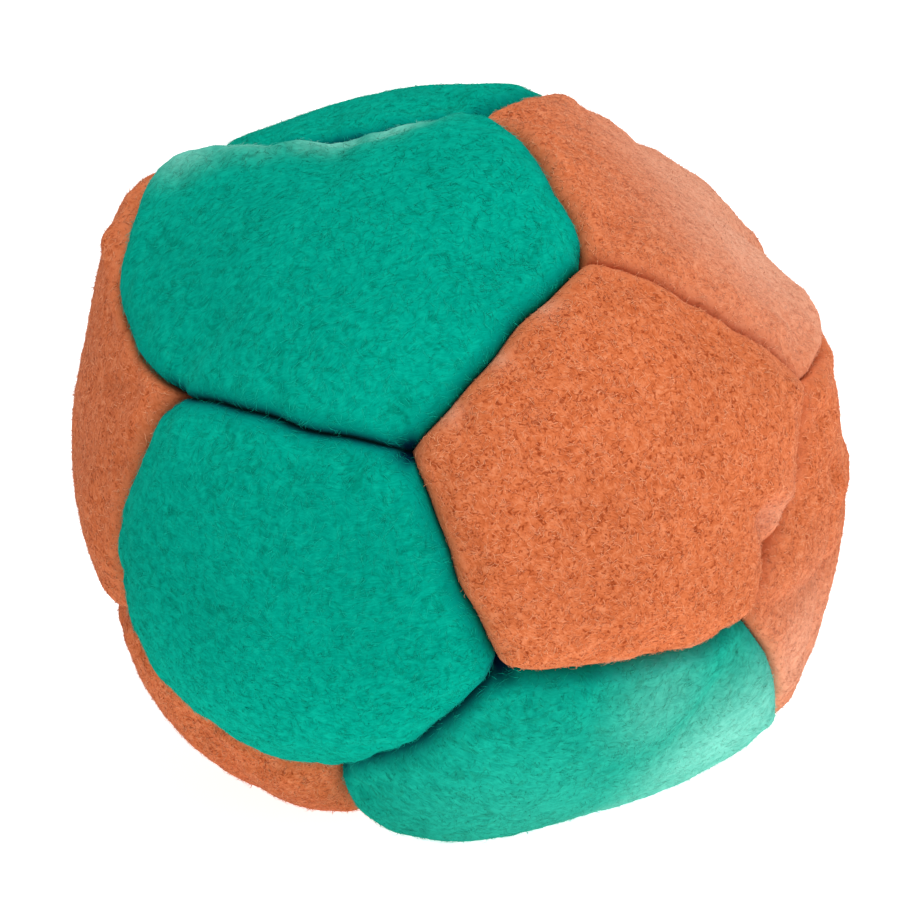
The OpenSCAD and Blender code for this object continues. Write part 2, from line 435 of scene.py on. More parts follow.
# %% [markdown]
# ## Filling the ball
# Seed pushes the cloth out from inside, and the cloth, held all round by its seams, answers with a soft crown
# and small pulls along the stitching. Cloth simulation does that: the edge of each panel is pinned, the cloth
# is a little larger than its place, and pressure blows it out. It runs on a ball ten times the size, where the
# solver works best. How far a point may go is capped, so that no panel swells out of its place.

# %% Blow the panels out
SIM_SCALE = 10
SIM_FRAMES = 20
SLACK = 0.03
SWELL_CAP = 1.3 * MM


def add_cloth(piece):
    edge = piece.vertex_groups.new(name="edge")
    _, out, _ = sectors(read(piece, "cut"))
    edge.add([int(v) for v in np.flatnonzero(out > 0.999)], 1, "REPLACE")
    write(piece, "position", read(piece) * SIM_SCALE)
    cloth = piece.modifiers.new("cloth", "CLOTH")
    settings = cloth.settings
    settings.quality = 6
    settings.mass = 0.4
    settings.tension_stiffness = 40
    settings.compression_stiffness = 20
    settings.shear_stiffness = 20
    settings.bending_stiffness = 2
    settings.vertex_group_mass = "edge"
    settings.shrink_min = -SLACK
    settings.use_pressure = True
    settings.uniform_pressure_force = 4
    settings.effector_weights.gravity = 0
    cloth.point_cache.frame_start = 1
    cloth.point_cache.frame_end = SIM_FRAMES


def take_swell(piece):
    before = read(piece) / SIM_SCALE
    only(piece)
    bpy.ops.object.modifier_apply(modifier="cloth")
    move = read(piece) / SIM_SCALE - before
    length = np.linalg.norm(move, axis=1, keepdims=True)
    write(piece, "position", before + move * np.minimum(1, SWELL_CAP / np.maximum(length, 1e-9)))
    piece.vertex_groups.clear()
    return length.max() / MM


for piece in pieces.values():
    add_cloth(piece)
for frame_number in range(1, SIM_FRAMES + 1):
    bpy.context.scene.frame_set(frame_number)
swells = [take_swell(piece) for piece in pieces.values()]
bpy.context.scene.frame_set(1)
print("the cloth moved by up to", [round(swell, 2) for swell in swells], "mm")

# %% [markdown]
# ## Folding the edges in
# At a seam the cloth rolls over a tight quarter circle and runs down between the two panels. Along the roll it
# is pulled into small puckers by the stitches. The grid is made four times finer first, and then every point is
# lowered by its distance from the seam, which its flat place gives.

# %% The roll at the seam
ROLL_WIDTH = 1.15 * MM
ROLL_DEPTH = 1.15 * MM
DIP_DEPTH = 0.5 * MM
DIP_WIDTH = 1.8 * MM
TEAL_PIT = 1.5 * MM
ORANGE_PIT = 0.4 * MM
CORNER_REACH = 1.1 * MM


def seam_distance(cut):
    """Distance along the cloth to the nearest seam, rounded off where two seams meet."""
    angles = np.radians(72 * np.arange(5))
    sides = (APOTHEM - cut[:, :2] @ np.array([np.cos(angles), np.sin(angles)])) * FLAT_R
    soft = 0.25 * MM
    return -soft * np.log(np.exp(-sides / soft).sum(axis=1))


def roll_in(distance):
    """How far the cloth is lowered at a distance from the seam."""
    near = np.clip(1 - np.clip(distance, 0, None) / ROLL_WIDTH, 0, 1)
    return ROLL_DEPTH * (1 - np.sqrt(1 - near ** 2)) + DIP_DEPTH * np.exp(-distance / DIP_WIDTH)


# %% Noise and the floor
def noise_at(points, size, seed):
    shift = Vector((seed * 7.3, seed * 3.1, seed * 5.7))
    return np.array([noise.noise(Vector(point) / size + shift) for point in points])


def rest_on_floor(points):
    """Flattens what would be lower than the floor, with a soft edge."""
    edge = 0.8 * MM
    points = points.copy()
    points[:, 2] = (points[:, 2] + np.sqrt(points[:, 2] ** 2 + edge ** 2)) / 2
    return points


# %% [markdown]
# ## Folds and painted sheen
# A ball that has been thrown for years isn't evenly round: the seed has shifted, so single panels are dented or
# folded. A pale painted sheen is laid where the nap would catch light at a grazing angle; on the bottom front
# panel it also stands in for light from below. A simulation wouldn't repeat the marks of one ball, so each is a
# short stroke on the cut of its panel, given by the neighbours that it lies between.

# %% Folds and dents
def spot_on_cut(panel, neighbour, share, out):
    """A place on a panel's cut: towards which neighbour, how far along that side, and how far out."""
    side = NEIGHBOURS[panel].index(neighbour)
    turn = math.radians(72 * side - 36) + np.array([0, math.radians(72)])
    ends = np.column_stack([np.cos(turn), np.sin(turn)])
    return out * ((1 - share) * ends[0] + share * ends[1])


# The strokes on each panel: from where to where on its cut, how wide, and how high in millimetres
FOLDS = {
    "bottom_front": [
        (("bottom_back", 0.4, 0.75), ("bottom_back", 0.4, 0.65), 0.35, -2.0),
        (("bottom_left", 0.5, 0.7), ("bottom_left", 0.5, 0.6), 0.35, 1.0),
        (("bottom_back", 0.2, 0.3), ("lower_right", 0.4, 0.9), 0.06, 0.45),
        (("bottom_back", 0.6, 0.45), ("lower_right", 0.15, 0.85), 0.05, -0.4),
    ],
    "lower_right": [
        (("top_right", 0.5, 0.65), ("top_right", 0.5, 0.6), 0.35, -1.2),
        (("upper_front", 0.2, 0.6), ("bottom_front", 0.6, 0.7), 0.05, -0.7),
        (("upper_front", 0.5, 0.8), ("top_right", 0.6, 0.4), 0.06, 0.5),
    ],
    "upper_left": [
        (("top_front", 0.9, 0.8), ("top_back", 0.1, 0.8), 0.3, 0.9),
        (("lower_front", 0.6, 0.8), ("lower_front", 0.3, 0.3), 0.07, -0.5),
    ],
    "upper_front": [
        (("lower_right", 0.3, 0.93), ("lower_right", 0.45, 0.72), 0.06, -1.3),
        (("lower_right", 0.55, 0.9), ("lower_right", 0.6, 0.7), 0.08, 0.6),
        (("top_right", 0.4, 0.86), ("top_right", 0.95, 0.9), 0.05, -0.4),
    ],
    "top_right": [
        (("top_front", 0.1, 0.8), ("upper_front", 0.3, 0.6), 0.05, -0.5),
        (("upper_front", 0.7, 0.6), ("upper_front", 0.9, 0.3), 0.07, 0.5),
    ],
    "top_front": [
        (("top_back", 0.2, 0.8), ("top_back", 0.45, 0.9), 0.05, -0.5),
        (("top_back", 0.6, 0.92), ("top_back", 0.8, 0.78), 0.05, 0.5),
        (("top_back", 0.85, 0.92), ("top_back", 0.95, 0.88), 0.16, 1.5),
    ],
    "lower_front": [
        (("top_front", 0.3, 0.9), ("top_front", 0.45, 0.55), 0.06, -0.4),
    ],
    "bottom_left": [
        (("lower_front", 0.4, 0.8), ("bottom_front", 0.7, 0.5), 0.06, -0.5),
    ],
    "upper_back": [
        (("top_back", 0.3, 0.9), ("lower_back", 0.6, 0.5), 0.06, -0.5),
    ],
    "lower_back": [
        (("upper_back", 0.5, 0.9), ("upper_left", 0.4, 0.6), 0.07, 0.5),
    ],
    "bottom_back": [
        (("upper_back", 0.5, 0.9), ("lower_right", 0.4, 0.5), 0.06, -0.5),
    ],
    "top_back": [
        (("upper_back", 0.4, 0.9), ("upper_left", 0.6, 0.5), 0.06, -0.5),
    ],
}


def folds_of(panel, cut):
    """How far folds and dents lift points of a panel's cut."""
    lift = np.zeros(len(cut))
    for start, end, width, height in FOLDS.get(panel, []):
        start, end = spot_on_cut(panel, *start), spot_on_cut(panel, *end)
        run = end - start
        along = np.clip((cut[:, :2] - start) @ run / (run @ run), 0, 1)
        gap = np.hypot(*(cut[:, :2] - start - along[:, None] * run).T)
        lift += height * MM * np.exp(-(gap / width) ** 2)
    return lift


# %% Painted sheen
# Where each panel's nap gets a pale painted sheen: which place on its cut, how far it reaches, and how strongly
PAINTED_SHEEN = {
    "top_front": [
        ("top_back", 0.25, 0.93, 0.14, 0.9),
        ("top_back", 0.5, 0.95, 0.12, 0.9),
        ("top_back", 0.75, 0.95, 0.12, 0.7),
        ("top_back", 0.95, 0.92, 0.12, 0.8),
    ],
    "bottom_front": [
        ("lower_right", 0.5, 0.7, 0.35, 1.0),
        ("lower_right", 0.15, 0.65, 0.4, 1.0),
        ("bottom_back", 0.7, 0.6, 0.4, 1.0),
        ("upper_front", 0.35, 0.75, 0.22, 0.35),
        ("bottom_back", 0.4, 0.1, 0.6, 0.15),
    ],
    "upper_front": [
        ("top_front", 0.3, 0.99, 0.06, 0.5),
        ("top_front", 0.55, 0.99, 0.05, 0.5),
        ("top_front", 0.8, 0.99, 0.06, 0.5),
        ("bottom_front", 0.4, 0.99, 0.05, 0.5),
        ("bottom_front", 0.7, 0.99, 0.05, 0.5),
        ("lower_right", 0.45, 0.85, 0.12, 0.5),
    ],
    "top_right": [
        ("lower_right", 0.5, 0.5, 0.6, 0.9),
        ("upper_back", 0.5, 0.5, 0.6, 0.8),
    ],
    "lower_right": [
        ("bottom_front", 0.5, 0.8, 0.4, 0.7),
    ],
}


def painted_sheen_places(panel, cut):
    """How much pale painted sheen points of a panel's cut get, from 0 to 1."""
    sheen_amount = np.zeros(len(cut))
    for towards_panel, share, out, reach, strength in PAINTED_SHEEN.get(panel, []):
        gap = np.hypot(*(cut[:, :2] - spot_on_cut(panel, towards_panel, share, out)).T) / reach
        sheen_amount = np.maximum(sheen_amount, strength * np.exp(-gap ** 2))
    return sheen_amount


# %% Painted shade between teal panels
LINE_WIDTH = 0.45 * MM
LINE_STRENGTH = 0.85
PIT_WIDTH = 1.15 * MM
PIT_STRENGTH = 1.4


def painted_shade_places(panel, cut, distance, to_corner):
    """How much painted shade points get where two teal panels meet: a thin line, widening to a pit at its ends.
    """
    if panel not in TEAL_PANELS:
        return np.zeros(len(cut))
    side, _, share = sectors(cut)
    teal_sides = np.array([neighbour in TEAL_PANELS for neighbour in NEIGHBOURS[panel]])
    next_side = np.where(share > 0.5, side + 1, side - 1) % 5
    along_teal = teal_sides[side]
    near_teal = along_teal | teal_sides[next_side]
    line = LINE_STRENGTH * np.exp(-(distance / LINE_WIDTH) ** 2) * along_teal
    pit = PIT_STRENGTH * np.exp(-(to_corner / PIT_WIDTH) ** 2) * near_teal
    return np.clip(np.maximum(line, pit), 0, 1)


# %% [markdown]
# The puckers lie in a band beside the seam, where the stitches gather the cloth. The cloth itself isn't smooth
# either: two fine noises give it the soft relief of brushed cloth, low enough to show only in slanting light.

# %% Shape the outside
SWELL = (0.3, 11 * MM)
PUCKER = (0.55, 3.0 * MM)
PUCKER_BAND = (2.2 * MM, 1.6 * MM)
FINE_RELIEF = (0.05, 0.6 * MM)
SOFT_RELIEF = (0.07, 1.4 * MM)


def relief(points, height_and_size, seed):
    height, size = height_and_size
    return height * noise_at(points, size, seed)


def shape_outside(piece, panel):
    apply_modifier(piece, "SUBSURF", levels=2, render_levels=2, boundary_smooth="PRESERVE_CORNERS")
    points = read(piece)
    distance = seam_distance(read(piece, "cut"))
    away = unit(points - MIDDLE)
    swell = relief(points, SWELL, 1)
    near_seam = np.exp(-((distance - PUCKER_BAND[0]) / PUCKER_BAND[1]) ** 2)
    pucker = relief(points, PUCKER, 2) * near_seam
    nap = relief(points, FINE_RELIEF, 3) + relief(points, SOFT_RELIEF, 4)
    points = points + away * ((swell + pucker + nap) * MM - roll_in(distance))[:, None]
    cut = read(piece, "cut")
    points = points + away * folds_of(panel, cut)[:, None]
    _, out, share = sectors(cut)
    to_corner = np.hypot((1 - out), np.minimum(share, 1 - share) * 1.17) * FLAT_R
    pit = TEAL_PIT if panel in TEAL_PANELS else ORANGE_PIT
    points = points - away * (pit * np.exp(-(to_corner / CORNER_REACH) ** 2))[:, None]
    write(piece, "position", rest_on_floor(points))
    write(piece, "seam", distance / MM)
    # painted sheen: pale colour where the nap would catch grazing light
    write(piece, "painted_sheen", painted_sheen_places(panel, cut))
    # deep: painted shade, tinted navy, in the seam lines and corner pits between teal panels
    write(piece, "deep", painted_shade_places(panel, cut, distance, to_corner))


for panel, piece in pieces.items():
    shape_outside(piece, panel)
print("one panel now has", len(piece.data.vertices), "points")

# %% [markdown]
# ## The turned-in edge and the inside of the cloth
# Sewn inside out and turned, each panel keeps an allowance of cloth beyond its stitches, which stands inwards
# between this panel and the next. The edge of the grid is extruded three times and led down beside the seam.
# The inside of the cloth is a second, coarser grid, a cloth's thickness further in, with an edge led down the
# same way. Bridging the two edges closes the cut edge, so the panel is one closed piece of cloth.

# %% Lead the edges down
ALLOWANCE = 4.5 * MM
EDGE_ROWS = 3
SEAM_GAP = 0.05 * MM


def open_edges():
    bpy.ops.mesh.select_all(action="DESELECT")
    bpy.ops.mesh.select_mode(type="EDGE")
    bpy.ops.mesh.select_non_manifold()


def extrude_edge():
    open_edges()
    bpy.ops.mesh.extrude_region_move()


def lead_edge_down(piece, panel, depth):
    """Extrudes the open edge in rows and leads them down towards the middle of the ball."""
    rim_count = len(piece.data.vertices)
    edit(piece, *[extrude_edge] * EDGE_ROWS)
    points = read(piece)
    new_count = (len(points) - rim_count) // EDGE_ROWS
    side, _, _ = sectors(read(piece, "cut")[rim_count:])
    outwards = np.array([unit(AXES[neighbour] - AXES[panel]) for neighbour in NEIGHBOURS[panel]])[side]
    row = np.repeat(np.arange(1, EDGE_ROWS + 1), new_count)[:, None] / EDGE_ROWS
    rows = points[rim_count:]
    rows = rows - unit(rows - MIDDLE) * row * depth - outwards * SEAM_GAP
    points[rim_count:] = rows
    write(piece, "position", points)


def make_inside(panel):
    inside = cut_panel(panel + "_inside", steps=COARSE_STEPS)
    cut = read(inside, "cut") * (1 - CLOTH_T / (FLAT_R * APOTHEM))
    points = lay_on_ball(cut, panel)
    points = points - unit(points - MIDDLE) * (CLOTH_T + roll_in(seam_distance(cut)))[:, None]
    points[:, 2] = np.maximum(points[:, 2], CLOTH_T)
    write(inside, "position", points)
    write(inside, "seam", seam_distance(cut) / MM)
    lead_edge_down(inside, panel, ALLOWANCE - CLOTH_T)
    edit(inside, lambda: bpy.ops.mesh.select_all(action="SELECT"), bpy.ops.mesh.flip_normals)
    return inside


def bridge_edges():
    open_edges()
    bpy.ops.mesh.bridge_edge_loops()


def enclosed(piece):
    """Volume inside a closed piece, mm3, and how many of its edges are open or badly turned."""
    mesh = bmesh.new()
    mesh.from_mesh(piece.data)
    bad = sum(not (edge.is_manifold and edge.is_contiguous) for edge in mesh.edges)
    volume = mesh.calc_volume(signed=True) / MM ** 3
    mesh.free()
    return round(volume), bad


insides = {}
for panel, piece in pieces.items():
    lead_edge_down(piece, panel, ALLOWANCE - ROLL_DEPTH - DIP_DEPTH)
    inside = make_inside(panel)
    insides[panel] = BVHTree.FromPolygons(
        [v.co.copy() for v in inside.data.vertices], [p.vertices[:] for p in inside.data.polygons]
    )
    only(piece, inside)
    bpy.ops.object.join()
    edit(piece, bridge_edges)
    only(piece)
    bpy.ops.object.shade_smooth()
print("cloth in each panel, mm3, and bad edges:", [enclosed(piece) for piece in pieces.values()])

# %% [markdown]
# ## The cloth's finish
# Both cloths are brushed: loops are torn up into a short nap, so the surface has no shine of its own. It is
# deep in colour where you look down into the nap, and paler where you look along it, and sheen does that.
# Fine streaks, several times longer than wide, follow the lie of the nap: a noise drawn out along one direction
# of the cut, after a slower noise has bent the cloth's own map, so the streaks curl.

# %% Colours
def colour(red, green, blue):
    """A colour given as on a paint chart, from 0 to 255, turned into light."""
    chart = (red, green, blue)
    return tuple(((v / 255 + 0.055) / 1.055) ** 2.4 if v > 10 else v / 255 / 12.92 for v in chart) + (1,)


class Shader:
    """A short way to write a material's nodes."""

    def __init__(self, name):
        self.material = bpy.data.materials.new(name)
        self.material.use_nodes = True
        self.tree = self.material.node_tree
        self.principled = self.tree.nodes["Principled BSDF"]

    def node(self, kind, inputs=None, **settings):
        node = self.tree.nodes.new("ShaderNode" + kind)
        for key, value in settings.items():
            setattr(node, key, value)
        for key, value in (inputs or {}).items():
            if isinstance(value, bpy.types.NodeSocket):
                self.tree.links.new(value, node.inputs[key])
            else:
                node.inputs[key].default_value = value
        return node

    def noise(self, vector, scale, detail, output="Fac", **more):
        inputs = {"Vector": vector, "Scale": scale, "Detail": detail, **more}
        return self.node("TexNoise", inputs).outputs[output]

    def written(self, name, output="Fac"):
        """A value that was written on the mesh."""
        return self.node("Attribute", attribute_name=name).outputs[output]

    def math(self, operation, first, second):
        return self.node("Math", {0: first, 1: second}, operation=operation).outputs["Value"]

    def ramp(self, value, *stops):
        node = self.node("ValToRGB", {"Fac": value})
        while len(node.color_ramp.elements) < len(stops):
            node.color_ramp.elements.new(0.5)
        for element, (position, shade) in zip(node.color_ramp.elements, stops):
            element.position = position
            element.color = shade if isinstance(shade, tuple) else (shade, shade, shade, 1)
        return node.outputs["Color"]

    def mix(self, kind, amount, under, over):
        node = self.node("Mix", {"Factor": amount, "A": under, "B": over}, data_type="RGBA", blend_type=kind)
        return node.outputs["Result"]

    def finish(self, **inputs):
        for key, value in inputs.items():
            socket = self.principled.inputs[key.replace("_", " ")]
            if isinstance(value, bpy.types.NodeSocket):
                self.tree.links.new(value, socket)
            else:
                socket.default_value = value
        return self.material


print("a teal of 5, 160, 138 is", [round(v, 3) for v in colour(5, 160, 138)])

# %% Brushed cloth
PIT_SHADE = (0.57, 0.39, 0.31, 1)
# The navy of the painted shade between teal panels
PAINTED_SHADE_NAVY = colour(2, 38, 66)


def brushed_cloth(
    name, tones, painted_seam_tone, painted_sheen_tone, streak, bend, pit_size, pit_depth, mottle, sheen, sheen_tint, bump
):
    """Cloth with a short nap. A streak is so wide and long, in millimetres, and pits are bare spots."""
    deep, body, light = tones
    shader = Shader(name)
    place = shader.node("TexCoord").outputs["Object"]

    slow = shader.noise(place, 330, 2, "Color")
    bent = shader.node("VectorMath", {0: slow, 1: (bend * MM, bend * MM, 0)}, operation="MULTIPLY")
    cloth_map = shader.written("lie", "Vector")
    curled = shader.node("VectorMath", {0: cloth_map, 1: bent.outputs["Vector"]}, operation="ADD")
    narrow = (1 / (streak[0] * MM), 1 / (streak[1] * MM), 1)
    drawn = shader.node("Mapping", {"Vector": curled.outputs["Vector"], "Scale": narrow})
    streaks = shader.noise(drawn.outputs["Vector"], 1, 3, Roughness=0.65)
    clumps = shader.noise(place, 1400, 4, Roughness=0.7)
    nap = shader.math("MULTIPLY", shader.math("ADD", streaks, clumps), 0.5)
    tone = shader.ramp(nap, (0.38, deep), (0.5, body), (0.62, light))

    pits = shader.noise(place, 0.45 / (pit_size * MM), 2, Roughness=0.5, Distortion=2.2)
    tone = shader.mix("MULTIPLY", pit_depth, tone, shader.ramp(pits, (0.36, PIT_SHADE), (0.435, 1.0)))
    patches = shader.noise(place, 90, 3)
    tone = shader.mix("MULTIPLY", mottle, tone, shader.ramp(patches, (0.3, 0.7), (0.7, 1.0)))

    # Painted light along every seam: a narrow band, broken up by the clumps, takes the seam tone, a painted
    # sheen on the orange cloth and a painted shade on the teal
    painted_seam_band = shader.ramp(shader.math("MULTIPLY", shader.written("seam"), 0.45), (0.2, 1.0), (0.75, 0.0))
    edge = shader.mix("MULTIPLY", 1.0, painted_seam_band, shader.ramp(clumps, (0.35, 0.3), (0.6, 1.0)))
    tone = shader.mix("MIX", edge, tone, painted_seam_tone)
    # Painted sheen: the pale tone laid over the nap where it would catch grazing light
    painted_sheen_mask = shader.mix("MULTIPLY", 1.0, shader.written("painted_sheen"), shader.ramp(nap, (0.4, 0.55), (0.6, 1.0)))
    tone = shader.mix("MIX", painted_sheen_mask, tone, painted_sheen_tone)
    # Painted shade, tinted navy, in the seam lines and corner pits between teal panels
    tone = shader.mix("MIX", shader.written("deep"), tone, PAINTED_SHADE_NAVY)

    bumps = shader.node("Bump", {"Height": nap, "Strength": bump, "Distance": 0.00015})
    return shader.finish(
        Base_Color=tone, Roughness=0.95, Specular_IOR_Level=0.0, Sheen_Weight=sheen, Sheen_Roughness=0.45,
        Sheen_Tint=sheen_tint, Normal=bumps.outputs["Normal"],
    )


CLOTHS = {
    "teal_cloth": brushed_cloth(
        "teal_suede", (colour(0, 140, 121), colour(1, 159, 136), colour(8, 174, 148)),
        painted_seam_tone=colour(0, 132, 120), painted_sheen_tone=colour(128, 208, 190), streak=(0.12, 1.0), bend=2.6,
        pit_size=0.8, pit_depth=0.3, mottle=0.4, sheen=0.1, sheen_tint=colour(90, 210, 185), bump=0.3,
    ),
    "orange_cloth": brushed_cloth(
        "orange_fleece", (colour(184, 89, 48), colour(209, 112, 67), colour(224, 136, 94)),
        painted_seam_tone=colour(206, 116, 76), painted_sheen_tone=colour(230, 170, 142), streak=(0.16, 0.5), bend=3.5,
        pit_size=0.25, pit_depth=0.95, mottle=0.35, sheen=0.08, sheen_tint=colour(255, 225, 210), bump=0.5,
    ),
}
print("cloths:", ", ".join(CLOTHS))

# %% Dress the panels
for panel, piece in pieces.items():
    slot = slot_of(panel)
    write(piece, "lie", read(piece, "cut") * FLAT_R)
    piece.data.materials.append(CLOTHS[slot])
    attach(piece, "root")
    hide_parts(panel + "_panel")

# %% [markdown]
# ## The nap that stands off the cloth
# Streaks in the colour are not enough at the ball's edge and over the seams, where single hairs are seen. One
# hair is modelled once, a three-sided cone cut across twice so that it can bend, and then copied along short
# curls that lie on the cloth.

# %% One hair
def cut_across(height):
    bpy.ops.mesh.select_all(action="SELECT")
    bpy.ops.mesh.bisect(plane_co=(0, 0, height), plane_no=(0, 0, 1))


bpy.ops.object.select_all(action="DESELECT")
bpy.ops.mesh.primitive_cone_add(vertices=3, radius1=1, radius2=0, depth=1, location=(0, 0, 0.5))
hair = bpy.context.object
only(hair)
bpy.ops.object.transform_apply(location=True, rotation=True, scale=True)
edit(hair, lambda: cut_across(1 / 3), lambda: cut_across(2 / 3))
HAIR_POINTS = read(hair)
HAIR_FACES = [list(face.vertices) for face in hair.data.polygons]
HAIR_FLATNESS = 0.4
bpy.data.objects.remove(hair)
print("one hair has", len(HAIR_POINTS), "points and", len(HAIR_FACES), "faces")


# %% Room for the hairs
# How near a seam hairs still stand, in millimetres
BARE_EDGE = 0.12


def spread_over(piece, count, random):
    """Points spread evenly over the outside of a panel, which way is out there, and how much painted sheen it
    has.
    """
    mesh = piece.data
    faces = [f for f in mesh.polygons if len(f.vertices) == 4]
    corners = np.array([f.vertices[:] for f in faces])
    points = read(piece)
    seam = read(piece, "seam", size=1)
    normals = np.array([v.vector[:] for v in mesh.vertex_normals])
    quads = points[corners]
    middle = quads.mean(axis=1)
    face_normal = np.cross(quads[:, 2] - quads[:, 0], quads[:, 3] - quads[:, 1])
    size = np.linalg.norm(face_normal, axis=1)
    outside = (face_normal * (middle - MIDDLE)).sum(axis=1) / size > 0.35 * BALL_R
    outside &= seam[corners].min(axis=1) > BARE_EDGE
    area = np.where(outside, size, 0)
    chosen = random.choice(len(faces), size=count, p=area / area.sum())
    u, v = random.random((2, count, 1))
    weights = np.stack([(1 - u) * (1 - v), u * (1 - v), u * v, (1 - u) * v], axis=1)
    roots = (quads[chosen] * weights).sum(axis=1)
    painted_sheen = read(piece, "painted_sheen", size=1)[corners[chosen, 0]]
    return roots, unit((normals[corners][chosen] * weights).sum(axis=1)), painted_sheen


# %% [markdown]
# Each hair starts with the lie of its neighbours, which swirls slowly over the cloth, strays from it by its own
# amount and then turns as it runs. It rises a little from the cloth and comes down again, and a few stand up.

# %% Comb the nap of a panel
LIE = np.array([0.25, 0, -1])
HAIR_LENGTHS = (0.6, 1.4)
HAIR_WIDTHS = (0.022, 0.036)
FLOOR_ROOM = 0.02 * MM


def comb(piece, name, count, length, thickness, curl, wildness, seed):
    random = np.random.default_rng(seed)
    roots, out, painted_sheen = spread_over(piece, count, random)
    down = unit(LIE - out * (out @ LIE)[:, None])
    across = np.cross(out, down)
    swirl = 2.2 * noise_at(roots, 5 * MM, seed) + 1.2 * noise_at(roots, 1.6 * MM, seed + 1)
    heading = swirl + random.normal(0, wildness, count)
    long = length * MM * random.uniform(*HAIR_LENGTHS, count)
    turn = curl * random.normal(0, 1, count)
    lift = 0.05 + 0.13 * random.random(count) ** 2 + 0.25 * random.random(count) ** 12
    thick = random.uniform(*HAIR_WIDTHS, count) * thickness * MM
    run = HAIR_POINTS[None, :, 2]
    angle = heading[:, None] + turn[:, None] * run
    middle_angle = heading[:, None] + turn[:, None] * run / 2
    chord = long[:, None] * run * np.sinc(turn[:, None] * run / 2 / math.pi)
    centre = (
        roots[:, None]
        + down[:, None] * (np.cos(middle_angle) * chord)[..., None]
        + across[:, None] * (np.sin(middle_angle) * chord)[..., None]
        + out[:, None] * ((lift[:, None] * np.sin(2.6 * run + 0.1) - 0.03) * MM)[..., None]
    )
    sideways = -down[:, None] * np.sin(angle)[..., None] + across[:, None] * np.cos(angle)[..., None]
    width, height = HAIR_POINTS[None, :, 0, None], HAIR_FLATNESS * HAIR_POINTS[None, :, 1, None]
    around = width * sideways + height * out[:, None]
    points = (centre + around * thick[:, None, None]).reshape(-1, 3)
    points[:, 2] = np.maximum(points[:, 2], FLOOR_ROOM)
    size = len(HAIR_POINTS)
    nap = piece_from(name, points, repeat_faces(HAIR_FACES, size, count))
    write(nap, "shade", np.repeat(random.random(count), size))
    # each hair takes the painted sheen of the cloth at its root
    write(nap, "painted_sheen", np.repeat(painted_sheen, size))
    return nap


# %% Hair finish
def hair_finish(name, dark, light, painted_sheen_tone, sheen_tint):
    shader = Shader(name)
    patches = shader.noise(shader.node("TexCoord").outputs["Object"], 90, 3)
    tone = shader.ramp(shader.written("shade"), (0.0, dark), (1.0, light))
    tone = shader.mix("MULTIPLY", 1.0, tone, shader.ramp(patches, (0.3, 0.9), (0.7, 1.0)))
    # Painted sheen on the hairs, as on the cloth under them
    tone = shader.mix("MIX", shader.written("painted_sheen"), tone, painted_sheen_tone)
    return shader.finish(
        Base_Color=tone, Roughness=0.8, Specular_IOR_Level=0.0, Sheen_Weight=0.1, Sheen_Tint=sheen_tint,
    )


HAIRS = {
    "teal_cloth": hair_finish(
        "teal_hairs", dark=colour(0, 152, 132), light=colour(24, 190, 163),
        painted_sheen_tone=colour(140, 215, 198), sheen_tint=colour(90, 210, 185),
    ),
    "orange_cloth": hair_finish(
        "orange_hairs", dark=colour(210, 110, 66), light=colour(250, 176, 132),
        painted_sheen_tone=colour(236, 178, 150), sheen_tint=colour(250, 210, 190),
    ),
}

# %% Comb every panel
NAPS = {
    "teal_cloth": {"count": 5500, "length": 0.95, "thickness": 1.0, "curl": 0.8, "wildness": 0.6},
    "orange_cloth": {"count": 6800, "length": 0.7, "thickness": 1.2, "curl": 2.0, "wildness": 2.0},
}
for number, (panel, piece) in enumerate(pieces.items()):
    slot = slot_of(panel)
    nap = comb(piece, panel + "_nap", **NAPS[slot], seed=100 + number)
    nap.data.materials.append(HAIRS[slot])
    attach(nap, "root")
print("the nap of one panel has", len(nap.data.polygons), "faces")

# %% [markdown]
# ## The thread
# Every seam is sewn with navy thread inside the ball, through the two turned-in edges just below the roll. A
# thread is two plies twisted together, so its section is a figure of eight that turns as it goes along.

# %% Twisted thread
THREAD_R = 0.17 * MM
PLY_PITCH = 1.1 * MM
RING_SIDES = 8
RING_GAP = 0.38 * MM


def twisted_thread(path):
    """Points and faces of a thread along a path, closed at both ends."""
    gaps = np.linalg.norm(np.diff(path, axis=0), axis=1)
    mark = np.concatenate([[0], np.cumsum(gaps)])
    rings = max(4, int(mark[-1] / RING_GAP))
    at = np.linspace(0, mark[-1], rings)
    centre = np.column_stack([np.interp(at, mark, path[:, axis]) for axis in range(3)])
    ahead = unit(np.gradient(centre, axis=0))
    side = unit(np.cross(ahead, centre - MIDDLE))
    up = np.cross(side, ahead)
    angles = np.linspace(0, math.tau, RING_SIDES, endpoint=False)
    twist = math.tau * at[:, None] / PLY_PITCH
    radius = THREAD_R * (0.82 + 0.18 * np.cos(2 * (angles[None] - twist)))
    ring = np.cos(angles)[None, :, None] * side[:, None] + np.sin(angles)[None, :, None] * up[:, None]
    points = (centre[:, None] + ring * radius[..., None]).reshape(-1, 3)
    faces = []
    for r in range(rings - 1):
        for k in range(RING_SIDES):
            a, b = r * RING_SIDES + k, r * RING_SIDES + (k + 1) % RING_SIDES
            faces.append([a, b, b + RING_SIDES, a + RING_SIDES])
    faces.append(list(range(RING_SIDES))[::-1])
    faces.append([(rings - 1) * RING_SIDES + k for k in range(RING_SIDES)])
    return points, faces


# %% Stitches along a seam
FIRST_HOLE, LAST_HOLE = 0.1, 0.9
STITCH_COUNT = 8
STITCH_STEPS = 6
STITCH_BULGE = 0.06 * MM
FLOOR_CLOTH = CLOTH_T + 0.4 * MM
STITCH_DROP = 0.7 * MM
THREAD_SIDE = CLOTH_T + SEAM_GAP + THREAD_R
KNOT_R = 0.3 * MM


